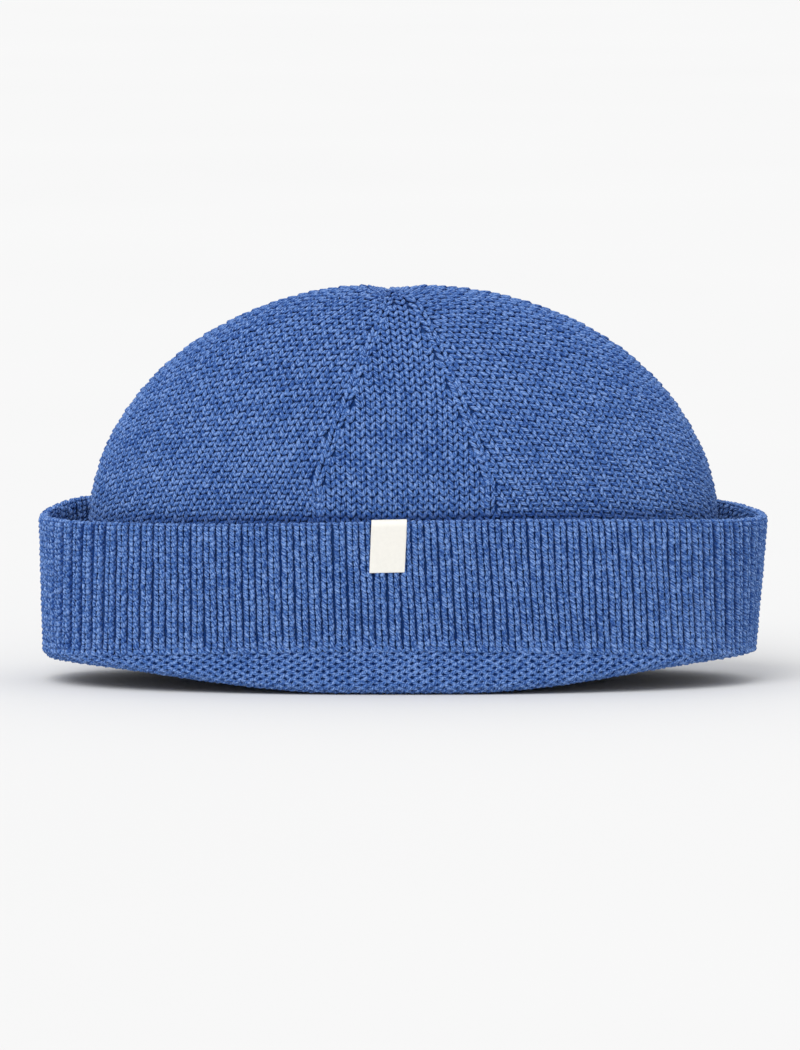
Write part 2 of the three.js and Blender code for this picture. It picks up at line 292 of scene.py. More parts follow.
def crown_face(gore, turn, drop, share, depth, dimple_depth=DIMPLE_DEPTH):
    """Points of the crown's face. turn runs from 0 at the shoulder to a quarter turn at the
    closing point, and drop from 0 at the shoulder to 1 at the rim."""
    width = np.cos(turn) ** (2 / DOME_WIDTH_POWER)
    length = np.cos(turn) ** (2 / DOME_DEPTH_POWER)
    rise = np.sin(turn) ** (2 / DOME_RISE_POWER)
    top = CROWN_HEIGHT - SHOULDER_HEIGHT
    tube_inset = CUFF_WALL + TURN_SLOT
    half_width = mix(CROWN_HALF_WIDTH, CUFF_FOOT_HALF_WIDTH - tube_inset, drop) * width
    half_depth = mix(CROWN_HALF_DEPTH, CUFF_FOOT_HALF_DEPTH - tube_inset, drop) * length
    power = mix(ROUND_POWER, OVAL_POWER, width)
    start = (DECREASE_START - SHOULDER_HEIGHT) / top
    straight = np.minimum(1, (1 - rise) / (1 - start)) / length
    front = FRONT_GORE_HALF_WIDTH * mix(1, straight, GORE_STRAIGHTNESS)
    angle = gore_angles(gore, share, front)
    x, y = ring(half_width, half_depth, power, angle, -depth * np.cos(turn))
    dimple = dimple_depth * np.exp(-((np.hypot(x, y) / DIMPLE_RADIUS) ** 2))
    shoulder = SHOULDER_HEIGHT + (top - depth) * rise - dimple
    centre = CLOSING_OFFSET * (1 - width) ** CLOSING_DRIFT_POWER + CUFF_FOOT_DRIFT * drop
    foot = rim_height(x + centre) + TURN_INNER_LEG
    return np.stack([x + centre, y, mix(shoulder, foot, drop)], axis=-1)


# Steps of the grid by which a cloth may be read past its first and last row
REACH = 1.5


class Cloth:
    """A face of the hat as a grid of points, read anywhere between them. Columns run
    anticlockwise, rows upward, so the face looks outward."""

    def __init__(self, points, closed=True):
        self.closed = closed
        self.points = np.concatenate([points, points[:, :1]], axis=1) if closed else points
        across = np.gradient(self.points, axis=1)
        if closed:
            seam = (self.points[:, 1] - self.points[:, -2]) / 2
            across[:, 0] = seam
            across[:, -1] = seam
        normal = np.cross(across, np.gradient(self.points, axis=0))
        size = np.linalg.norm(normal, axis=-1, keepdims=True)
        self.normals = np.where(size > 1e-12, normal / np.maximum(size, 1e-12), (0, 0, 1))

    def read(self, grid, column, row):
        """Values of a grid at fractional columns and rows."""
        rows, columns = grid.shape[:2]
        column = column % (columns - 1) if self.closed else np.clip(column, 0, columns - 1.001)
        row = np.clip(row, -REACH, rows - 1 + REACH)
        c, r = column.astype(int), np.clip(row.astype(int), 0, rows - 2)
        cs, rs = (column - c)[:, None], (row - r)[:, None]
        low = mix(grid[r, c], grid[r, c + 1], cs)
        return mix(low, mix(grid[r + 1, c], grid[r + 1, c + 1], cs), rs)

    def place(self, column, row, height):
        """Points at a height above the face."""
        normal = self.read(self.normals, column, row)
        normal /= np.maximum(np.linalg.norm(normal, axis=1, keepdims=True), 1e-9)
        return self.read(self.points, column, row) + height[:, None] * normal


# Blender's own steps, as by hand


def deselect():
    if bpy.context.mode != "OBJECT":
        bpy.ops.object.mode_set(mode="OBJECT")
    bpy.ops.object.select_all(action="DESELECT")


def pick(piece):
    deselect()
    piece.select_set(True)
    bpy.context.view_layer.objects.active = piece


def modify(piece, kind, **settings):
    """Adds a modifier and applies it."""
    pick(piece)
    bpy.ops.object.modifier_add(type=kind)
    modifier = piece.modifiers[-1]
    for name, value in settings.items():
        setattr(modifier, name, value)
    bpy.ops.object.modifier_apply(modifier=modifier.name)


def named(piece, name):
    piece.name = name
    piece.data.name = name
    return piece


def join(pieces, name):
    pick(pieces[0])
    for other in pieces[1:]:
        other.select_set(True)
    if len(pieces) > 1:
        bpy.ops.object.join()
    return named(bpy.context.object, name)


def read_points(piece):
    points = np.empty(len(piece.data.vertices) * 3, np.float32)
    piece.data.vertices.foreach_get("co", points)
    return points.reshape(-1, 3).astype(float)


def write_points(piece, points):
    piece.data.vertices.foreach_set("co", points.astype(np.float32).ravel())
    piece.data.update()


def edit_all(piece, step, **settings):
    """Runs one edit-mode step on the whole piece."""
    pick(piece)
    bpy.ops.object.mode_set(mode="EDIT")
    bpy.ops.mesh.select_all(action="SELECT")
    step(**settings)
    bpy.ops.object.mode_set(mode="OBJECT")


def delete_points(piece, doomed):
    pick(piece)
    bpy.ops.object.mode_set(mode="EDIT")
    bpy.ops.mesh.select_mode(type="VERT")
    bpy.ops.mesh.select_all(action="DESELECT")
    bpy.ops.object.mode_set(mode="OBJECT")
    piece.data.vertices.foreach_set("select", doomed)
    bpy.ops.object.mode_set(mode="EDIT")
    bpy.ops.mesh.delete(type="VERT")
    bpy.ops.object.mode_set(mode="OBJECT")


def store(piece, name, values):
    layers = piece.data.attributes
    layer = layers[name] if name in layers else layers.new(name, "FLOAT", "POINT")
    layer.data.foreach_set("value", np.asarray(values, np.float32))


def recall(piece, name):
    values = np.empty(len(piece.data.vertices), np.float32)
    piece.data.attributes[name].data.foreach_get("value", values)
    return values


def add_painted_shade(piece, values):
    """Marks painted shade on points, where they don't have more of it already."""
    # The deep attribute holds painted shade, which the wool material blends in as its shade colour
    store(piece, "deep", np.maximum(recall(piece, "deep"), values))


def finish_piece(piece, material, slot, *nodes):
    pick(piece)
    bpy.ops.object.shade_smooth()
    piece.data.materials.clear()
    piece.data.materials.append(material)
    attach(piece, "root")
    if nodes:
        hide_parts(*nodes)


# Stitches, modelled once and arrayed into a flat swatch

YARN_SIDES = 6
YARN_RINGS = 4
LEG_POINTS = YARN_SIDES * (YARN_RINGS - 1) + 2
KNIT_YARN = 0.70 * MM
RIB_YARN = 0.80 * MM
PURL_YARN = 0.74 * MM
PURL_ARCH = 0.32 * MM

# A leg's foot and length, in rows, between which it is tucked
TUCK_FOOT = -0.35
TUCK_LENGTH = 1.6

# Most that a leg shifts: share of the wale, share of the row, and height
SHIFT_ACROSS = 0.04
SHIFT_ALONG = 0.065
SHIFT_HEIGHT = 0.11 * MM


def yarn_loop(size, place, turn, plumpness=0.2):
    """One visible stretch of yarn: a spindle of these half sizes (across, along and high)
    lying along Y, turned and put in place."""
    deselect()
    bpy.ops.mesh.primitive_uv_sphere_add(
        segments=YARN_SIDES, ring_count=YARN_RINGS, radius=1.0,
        rotation=(math.pi / 2, 0, 0), scale=(size[0], size[2], size[1]),
    )
    bpy.ops.object.transform_apply(location=False, rotation=True, scale=True)
    piece = bpy.context.object
    points = read_points(piece)
    plump = 1 + plumpness * (points[:, 1] / size[1]) ** 2
    points[:, 0] *= plump
    points[:, 2] *= plump
    write_points(piece, points)
    piece.rotation_euler = (0, 0, turn)
    piece.location = place
    bpy.ops.object.transform_apply(location=True, rotation=True, scale=True)
    return piece


def tuck(leg, row, foot, head, shade, roundness=0.0):
    """Lifts a leg's foot and tucks its head under the next row. Its underside is marked with painted
    shade.
    """
    points = read_points(leg)
    store(leg, "deep", np.clip(shade - points[:, 2] / KNIT_YARN, 0, 1))
    share = (points[:, 1] / row - TUCK_FOOT) / TUCK_LENGTH
    points[:, 2] += mix(foot, head, share) - roundness * points[:, 0] ** 2
    write_points(leg, points)


def mirror_legs(leg, name):
    """Adds the leg's twin. The yarn's twist keeps its hand."""
    modify(leg, "MIRROR", use_axis=(True, False, False), use_mirror_merge=False, use_mirror_u=True)
    return named(leg, name)


def knit_stitch(wale, row, name):
    """A V of two legs, lower ends together and upper ends tucked under the next V."""
    size = (0.240 * wale, 0.80 * row, KNIT_YARN)
    leg = yarn_loop(size, (0.250 * wale, 0.47 * row, 0), turn=-math.radians(21), plumpness=0.3)
    tuck(leg, row, foot=0.34 * MM, head=-0.56 * MM, shade=0.82)
    return mirror_legs(leg, name)


def rib_stitch(wale, row, name):
    """A narrow V on the round crest of a rib."""
    size = (0.222 * wale, 0.88 * row, RIB_YARN)
    leg = yarn_loop(size, (0.242 * wale, 0.5 * row, 0), turn=-math.radians(15), plumpness=0.35)
    tuck(leg, row, foot=0.34 * MM, head=-0.42 * MM, shade=0.10, roundness=150.0)
    # Painted shade on the outer edges of the rib's legs, towards the furrows
    add_painted_shade(leg, ramp(read_points(leg)[:, 0] / wale, start=0.44, reach=0.06, most=0.45))
    return mirror_legs(leg, name)


def purl_stitch(wale, row, name):
    """The knit's back: a wave of arches, and half a row above it the wave of dips between."""
    size = (0.325 * row, 0.375 * wale, PURL_YARN)
    legs = []
    for level, side in ((0.5, 1), (1.0, -1)):
        place = (0.25 * wale, level * row, 0)
        leg = yarn_loop(size, place, turn=side * math.radians(60), plumpness=0.45)
        points = read_points(leg)
        # Painted shade on the undersides of the purl strands
        store(leg, "deep", np.clip(0.50 - points[:, 2] / PURL_YARN, 0, 1))
        points[:, 2] += side * PURL_ARCH * np.cos(2 * math.pi * points[:, 0] / wale)
        write_points(leg, points)
        legs.append(leg)
    return mirror_legs(join(legs, name), name)


def swatch(stitch, columns, rows, wale, row):
    """Arrays a stitch into flat knitting. Gives back the piece, and each point's column,
    row and place in its stitch."""
    size = len(stitch.data.vertices)
    for count, step in ((columns, (wale, 0, 0)), (rows, (0, row, 0))):
        modify(stitch, "ARRAY", count=count, use_relative_offset=False,
               use_constant_offset=True, constant_offset_displace=step)
    number = np.arange(len(stitch.data.vertices)) // size
    return stitch, number % columns, number // columns


def unsettle(points, wale, row, amount, seed):
    """Small random shifts, the same for all points of a leg, and each leg's tone."""
    rng = np.random.default_rng(seed)
    leg = np.arange(len(points)) // LEG_POINTS
    count = leg.max() + 1
    most = amount * np.array([SHIFT_ACROSS * wale, SHIFT_ALONG * row, SHIFT_HEIGHT])
    shift = rng.uniform(-1, 1, (count, 3)) * most
    return points + shift[leg], rng.random(count)[leg]


# Faces of the hat as cloth

GORE_COLUMNS = 24
MERIDIANS = 33
DOME_STEPS = 160
TUBE_STEPS = 59
GROUND_DOME_ROWS = 50
GROUND_TUBE_ROWS = 17
DOME_ROWS = 38
LOW_ROWS = 22
DOME_TALLER_TOP = 0.12
LOWEST_DROP = 1.3
SLOPE_AT_FRONT = math.radians(36)
SLOPE_AT_SIDE = math.radians(21)
FRONT_ROW_SAG = 0.04


def crossing(falling):
    """For each line of falling values, the fractional index at which it reaches zero."""
    above = falling >= 0
    last = falling.shape[1] - 1 - np.argmax(above[:, ::-1], axis=1)
    last = np.clip(np.where(above.any(axis=1), last, 0), 0, falling.shape[1] - 2)
    line = np.arange(len(falling))
    high, low = falling[line, last], falling[line, last + 1]
    return last + np.clip(high / np.maximum(high - low, 1e-12), 0, 1)


def lengths(points, axis=0):
    """Lengths reached along lines of points, from 0 at each line's start."""
    step = np.linalg.norm(np.diff(points, axis=axis), axis=-1)
    start = np.zeros_like(np.take(step, [0], axis=axis))
    return np.concatenate([start, np.cumsum(step, axis=axis)], axis=axis)


def resample(points, reached, wanted):
    """Reads a line of points at the wanted lengths along it."""
    return np.stack([np.interp(wanted, reached, line) for line in points.T], axis=-1)


def at_index(values, index):
    """Reads a column of points between its steps."""
    low = np.minimum(index.astype(int), len(values) - 2)
    part = index - low
    part = part[:, None] if values.ndim > 1 else part
    return mix(values[low], values[low + 1], part)


class CrownCloth:
    """The crown's outer face, row by row from inside the cuff to the closing point. Rows run
    level across the front and back gores, and climb outward across the side gores."""

    def __init__(self, depth):
        self.depth = depth
        self.share = np.linspace(0, 1, MERIDIANS)
        self.rows = DOME_ROWS + LOW_ROWS
        part = (self.rows - np.arange(self.rows + 1)) / DOME_ROWS
        dome = part * (1 + DOME_TALLER_TOP) - DOME_TALLER_TOP * part**2
        self.path = np.where(part > 1, 1 + (part - 1) * (1 - DOME_TALLER_TOP), dome)
        self.widths = np.zeros((GORES, self.rows + 1))
        self.centres = np.zeros((GORES, self.rows + 1))
        gores = [self.gore_grid(gore) for gore in range(GORES)]
        self.cloth = Cloth(np.concatenate(gores, axis=1))

    def meridians(self, gore, dimple_depth):
        """The face down each meridian of a gore, from the closing point to below the rim."""
        turns = np.linspace(math.pi / 2, 0, DOME_STEPS + 1)[:, None]
        drops = np.linspace(0, LOWEST_DROP, TUBE_STEPS + 1)[1:, None]
        share = self.share[None, :]
        dome = crown_face(gore, turns, 0.0, share, self.depth, dimple_depth)
        tube = crown_face(gore, 0.0 * drops, drops, share, self.depth, dimple_depth)
        return np.concatenate([dome, tube])

    def line_index(self, meridian):
        """Where the rows cross a front or back gore line."""
        reached = lengths(meridian)
        return np.interp(self.path * reached[DOME_STEPS], reached, np.arange(len(reached)))

    def gore_grid(self, gore):
        """The gore as a grid of rows, with its columns evenly spaced along each row."""
        smooth = self.meridians(gore, 0.0)
        high = smooth[:, :, 2]
        out = np.abs(smooth[:, :, 0] - CLOSING_OFFSET)
        index = np.zeros((self.rows + 1, len(self.share)))
        first, last = self.line_index(smooth[:, 0]), self.line_index(smooth[:, -1])
        if gore in (0, 3):
            left, right = at_index(high[:, 0], first), at_index(high[:, -1], last)
            sag = FRONT_ROW_SAG * at_index(out[:, 0], first)
            for c, share in enumerate(self.share):
                level = mix(left, right, share) - 4 * sag * share * (1 - share)
                index[:, c] = crossing(high[None, :, c] - level[:, None])
        else:
            order = range(len(self.share)) if gore in (1, 4) else range(len(self.share) - 1, -1, -1)
            here = first if gore in (1, 4) else last
            for step, c in enumerate(order):
                if step:
                    slope = math.tan(mix(SLOPE_AT_FRONT, SLOPE_AT_SIDE, step / len(self.share)))
                    climb = slope * (out[None, :, c] - level_out[:, None])
                    here = crossing(high[None, :, c] - level[:, None] - climb)
                index[:, c] = here
                level, level_out = at_index(high[:, c], here), at_index(out[:, c], here)
        face = self.meridians(gore, DIMPLE_DEPTH)
        placed = np.stack([at_index(face[:, c], index[:, c]) for c in range(index.shape[1])], axis=1)
        run = lengths(placed, axis=1)
        self.widths[gore] = run[:, -1]
        even = np.array([
            resample(row, reached, np.linspace(0, reached[-1], GORE_COLUMNS + 1))
            for row, reached in zip(placed, run)
        ])
        self.centres[gore] = self.centre_line(even, run[:, -1])
        return even[:, :-1]

    @staticmethod
    def centre_line(even, width):
        """Where the gore's middle wale crosses each row, square to the rows."""
        share = np.linspace(0, 1, 20 * (even.shape[1] - 1) + 1)
        coarse = np.linspace(0, 1, even.shape[1])
        middle = np.full(len(even), 0.5)
        for r in range(len(even) - 4, -1, -1):
            above = resample(even[r + 1], coarse, middle[r + 1])
            row = resample(even[r], coarse, share)
            middle[r] = share[np.argmin(np.linalg.norm(row - above, axis=1))]
        return middle * width

    def at_row(self, values, gore, row):
        return np.interp(row, np.arange(self.rows + 1), values[gore])

    def place(self, gore, run, row, height):
        """Points at a run in metres along a row from the gore's first line."""
        share = run / np.maximum(self.at_row(self.widths, gore, row), 1e-5)
        return self.cloth.place((gore + share) * GORE_COLUMNS, row, height)


def crown_ground(depth):
    """The crown's face from inside the cuff to the closing point as a plain grid."""
    share = np.arange(GORE_COLUMNS)[None, :] / GORE_COLUMNS
    drops = np.linspace(1, 0, GROUND_TUBE_ROWS + 1)[:-1, None]
    turns = np.linspace(0, math.pi / 2, GROUND_DOME_ROWS)[:, None]
    gores = []
    for gore in range(GORES):
        tube = crown_face(gore, 0.0 * drops, drops, share, depth)
        gores.append(np.concatenate([tube, crown_face(gore, turns, 0.0, share, depth)]))
    return Cloth(np.concatenate(gores, axis=1))


CUFF_STEPS = 60
RIM_STEPS = 60
RIM_BACKING_STEPS = 30
RIM_ARC_STEP = 15

# The purl band stops short of the ribs by this much, on the outer leg alone
RIM_GAP = 0.3 * MM
OUTER_LEG_REACH = 1.0 * MM


def cuff_cloth(ribs, outside):
    """One face of the cuff: outside from the purl band up and over the top edge, or inside
    from deep in the fold up to it."""
    angles = even_angles(ribs * 2)
    edge = CUFF_WALL / 2
    straight = CUFF_HEIGHT - PURL_TOP_FRONT - edge
    over = edge * math.pi / 2
    length = straight + over
    rows = []
    for step in np.linspace(0, length, CUFF_STEPS):
        arc = max(step - straight, 0) / edge
        offset = -edge * (1 - math.cos(arc))
        if not outside:
            offset = -CUFF_WALL - offset
        share = (min(step, straight) + math.sin(arc) * edge) / (straight + edge)
        x, y = cuff_plan(angles, share, offset)
        rows.append(np.stack([x, y, mix(purl_top(x), cuff_top(x, y), share)], axis=-1))
    return Cloth(np.array(rows)), length


def turn_path(depth):
    """Section of the turned rim as offsets and heights: down the outer leg from the ribs,
    where the height is left open, round the foot and up the inner leg."""
    width = CUFF_WALL + TURN_SLOT + CROWN_WALL
    corner = np.radians(range(0, 91, RIM_ARC_STEP))
    low, high = RIM_ROUND, width - RIM_ROUND
    outer = [(-low + low * math.cos(a), low - low * math.sin(a)) for a in corner]
    inner = [(-high - low * math.sin(a), low - low * math.cos(a)) for a in corner]
    path = [(0.0, None)] + outer + inner + [(-width, TURN_INNER_LEG)]
    middle = -width / 2
    shrunk = []
    for offset, height in path:
        pull = depth if offset > middle else -depth
        offset -= pull * min(1, abs(offset - middle) / (width / 2))
        if height is not None:
            height += depth * max(0, 1 - height / low)
        shrunk.append((offset, height))
    return shrunk


def turn_cloth(ribs, depth, steps):
    """Face of the turned rim, read upward from the inner leg's top to the ribs' foot."""
    angles = even_angles(ribs * 2)
    foot_x, _ = cuff_plan(angles, 0.0, 0.0)
    points = []
    for offset, height in turn_path(depth):
        x, y = cuff_plan(angles, 0.0, offset)
        if height is None:
            z = purl_top(x)
        else:
            gap = RIM_GAP if offset > -OUTER_LEG_REACH else 0.0
            z = np.minimum(rim_height(x) + height, purl_top(foot_x) - gap)
        points.append(np.stack([x, y, z], axis=-1))
    points = np.array(points)
    run = lengths(points)
    length = run[-1].mean()
    wanted = np.linspace(0, length, steps)
    lines = [resample(points[:, c], run[:, c], wanted) for c in range(len(angles))]
    return Cloth(np.stack(lines, axis=1)[::-1]), length


# Materials

PLIES = 4
PLY_TWIST = 3.5
FLECK_SCALE = 1500.0
CLOUD_SCALE = 70.0
BUMP_SCALE = 520.0
LINT_SCALE = 900.0
WARP_THREADS = 38
WEFT_THREADS = 96
FLOOR_PALE = (0.715, 0.715, 0.715, 1.0)
FLOOR_PALER = (0.73, 0.73, 0.73, 1.0)


class Socket:
    """A shader socket that can be used in Python sums."""

    def __init__(self, graph, socket):
        self.graph = graph
        self.socket = socket

    def __add__(self, other):
        return self.graph.maths("ADD", self, other)

    __radd__ = __add__

    def __sub__(self, other):
        return self.graph.maths("SUBTRACT", self, other)

    def __rsub__(self, other):
        return self.graph.maths("SUBTRACT", other, self)

    def __mul__(self, other):
        return self.graph.maths("MULTIPLY", self, other)

    __rmul__ = __mul__


class Graph:
    """A material's nodes."""

    def __init__(self, name):
        self.material = bpy.data.materials.new(name)
        self.material.use_nodes = True
        self.tree = self.material.node_tree
        self.tree.nodes.clear()

    def node(self, kind, settings=None, inputs=None, output=0):
        node = self.tree.nodes.new("ShaderNode" + kind)
        for name, value in (settings or {}).items():
            if name == "stops":
                self.set_stops(node.color_ramp, value)
            else:
                setattr(node, name, value)
        for name, value in (inputs or {}).items():
            if isinstance(value, Socket):
                self.tree.links.new(value.socket, node.inputs[name])
            else:
                node.inputs[name].default_value = value
        return Socket(self, node.outputs[output])

    @staticmethod
    def set_stops(ramp, stops):
        while len(ramp.elements) < len(stops):
            ramp.elements.new(1.0)
        for element, (position, colour) in zip(ramp.elements, stops):
            element.position = position
            element.color = (*colour, 1.0)

    def axes(self):
        """The piece's own UV, across and along."""
        uv = self.node("UVMap")
        return [self.node("SeparateXYZ", None, {0: uv}, axis) for axis in (0, 1)]

    def place(self):
        """The point's place on the piece."""
        return self.node("TexCoord", None, None, 3)

    def noise(self, place, scale, detail, roughness=0.5):
        inputs = {"Vector": place, "Scale": scale, "Detail": detail, "Roughness": roughness}
        return self.node("TexNoise", None, inputs)

    def maths(self, operation, *values):
        return self.node("Math", {"operation": operation}, dict(enumerate(values)))

    def bump(self, height, strength, distance):
        inputs = {"Strength": strength, "Distance": distance, "Height": height}
        return self.node("Bump", None, inputs)

    def blend(self, factor, first, second):
        return self.node("Mix", {"data_type": "RGBA"}, {0: factor, 6: first, 7: second}, 2)

    def finish(self, surface):
        """Ends the material in a surface with these inputs."""
        shader = self.node("BsdfPrincipled", None, surface)
        end = self.tree.nodes.new("ShaderNodeOutputMaterial")
        self.tree.links.new(shader.socket, end.inputs["Surface"])
        return self.material


def wool(name):
    """Twisted wool: plies and loose fibres along the yarn, each stitch its own tone, painted
    highlights on the ply crests and fibres, and painted shade where the yarn sinks between its
    neighbours."""
    colours = bpy.context.scene.beanie_yarn
    g = Graph(name)
    around, along = g.axes()
    tone = g.node("Attribute", {"attribute_name": "tone"}, None, 2)
    deep = g.node("Attribute", {"attribute_name": "deep"}, None, 2)
    ply = around * PLIES + along * PLY_TWIST + tone
    ridge = g.maths("ABSOLUTE", g.maths("SINE", ply * math.pi))
    strand = g.node("CombineXYZ", None, {0: ply * 3.5, 1: along * 2.5, 2: tone * 60})
    fibre = g.noise(strand, 1.0, 3.0, 0.65)
    fleck = g.noise(g.place(), FLECK_SCALE, 2.0)
    cloud = g.noise(g.place(), CLOUD_SCALE, 2.0)
    # Painted highlight: the ply crests (ridge) and the fibre and fleck streaks are coloured lighter,
    # as where light catches them. Tone and cloud are the wool's own random tone. The ramp turns low
    # values into darker, purer blue and high values into the pale fleck colour.
    light = (
        0.27 + (fibre - 0.5) * 2.9 + (fleck - 0.5) * 2.0 + ridge * 0.42
        + (tone - 0.5) * 0.3 + (cloud - 0.5) * 0.25
    )
    base = g.node(
        "ValToRGB",
        {"stops": [(0.0, tuple(0.75 * part ** 1.5 for part in colours.yarn)),
                   (0.5, tuple(colours.yarn)),
                   (1.0, tuple(colours.fleck))]},
        {0: light},
    )
    # Painted shade: the shade colour is blended in as far as the deep attribute says
    colour = g.blend(deep, base, (*colours.shade, 1.0))
    normal = g.bump(ridge * 0.9 + fibre * 0.8 + fleck * 0.5, 0.6, 0.3 * MM)
    return g.finish({"Base Color": colour, "Roughness": 0.86, "Specular IOR Level": 0.15,
                     "Sheen Weight": 0.10, "Sheen Roughness": 0.5,
                     "Sheen Tint": (0.62, 0.75, 1.0, 1.0), "Normal": normal})


def backing_wool(name):
    """The knit's ground behind the stitches: small bumps, coloured with painted shade."""
    colours = bpy.context.scene.beanie_yarn
    g = Graph(name)
    place = g.place()
    cells = g.node("TexVoronoi", None, {"Vector": place, "Scale": BUMP_SCALE})
    fibre = g.noise(place, FLECK_SCALE, 3.0)
    # Painted shade: the ground is the yarn dimmed and blended towards the shade colour
    dim = [0.35 * part for part in colours.yarn]
    colour = g.blend(cells * 0.8 + fibre * 0.3, (*dim, 1.0), (*colours.shade, 1.0))
    normal = g.bump(fibre * 0.5 - cells, 0.8, 0.5 * MM)
    return g.finish({"Base Color": colour, "Roughness": 0.95, "Specular IOR Level": 0.1,
                     "Normal": normal})


def label_cotton(name):
    """A fine woven cotton tape."""
    colour = bpy.context.scene.beanie_yarn.label
    g = Graph(name)
    across, along = g.axes()
    warp = g.maths("SINE", across * (WARP_THREADS * math.tau))
    weft = g.maths("SINE", along * (WEFT_THREADS * math.tau))
    fibre = g.noise(g.place(), LINT_SCALE, 3.0)
    weave = warp * weft
    light = 0.93 + 0.035 * weave + 0.08 * fibre
    tape = g.node("VectorMath", {"operation": "SCALE"}, {0: tuple(colour), 3: light})
    normal = g.bump(weave + fibre * 0.5, 0.35, 0.12 * MM)
    return g.finish({"Base Color": tape, "Roughness": 0.8, "Specular IOR Level": 0.25,
                     "Sheen Weight": 0.1, "Normal": normal})


def floor_paint(name):
    """A plain pale table."""
    g = Graph(name)
    colour = g.blend(g.noise(g.place(), 3.0, 1.0), FLOOR_PALE, FLOOR_PALER)
    return g.finish({"Base Color": colour, "Roughness": 0.9, "Specular IOR Level": 0.0})


# Pieces


def wall(name, columns, rows, thickness, place):
    """A closed wall of plain knit: a grid laid on a face of the hat, seamed round and
    thickened inward. place turns columns, and shares of the face's height, into points."""
    deselect()
    bpy.ops.mesh.primitive_grid_add(x_subdivisions=columns, y_subdivisions=rows, size=1.0)
    piece = bpy.context.object
    flat = read_points(piece) + 0.5
    write_points(piece, place(np.round(flat[:, 0] * columns), flat[:, 1]))
    edit_all(piece, bpy.ops.mesh.remove_doubles, threshold=SEAM_REACH)
    modify(piece, "SOLIDIFY", thickness=thickness, offset=-1.0, use_even_offset=False)
    return named(piece, name)


def plain_wall(name, cloth, rows, thickness):
    """A wall laid on the whole of a cloth."""
    top = cloth.points.shape[0] - 1

    def place(column, share):
        return cloth.place(column, share * top, 0.0 * share)

    return wall(name, cloth.points.shape[1] - 1, rows, thickness, place)


# Crown stitches lie between these heights and the closing point, lower at the sides, and clear
# of the gore lines by a share of a wale
CROWN_FOOT_MIDDLE = 45.0 * MM
CROWN_FOOT_SIDE = 36.0 * MM
LINES_FOOT = 47.0 * MM
LINE_CLEARANCE = 0.38
GORE_SWAY = 0.10
LINE_SCALE = 1.12
LINE_UNEVENNESS = 1.8
LINE_RISE = 0.18 * MM

# Painted shadow: they darken behind the cuff from this far above its edge, to the most at the middle
SHADE_START = -2.2 * MM
SHADE_REACH = 1.8 * MM
SHADE_MOST = 0.7

# The last stitches' stars, in mm: how many, how far out, half length and height
CLOSING_STARS = ((6, 1.1, 1.5, 0.25), (10, 3.4, 2.1, 0.1))
CLOSING_YARN = (0.72, 0.7)


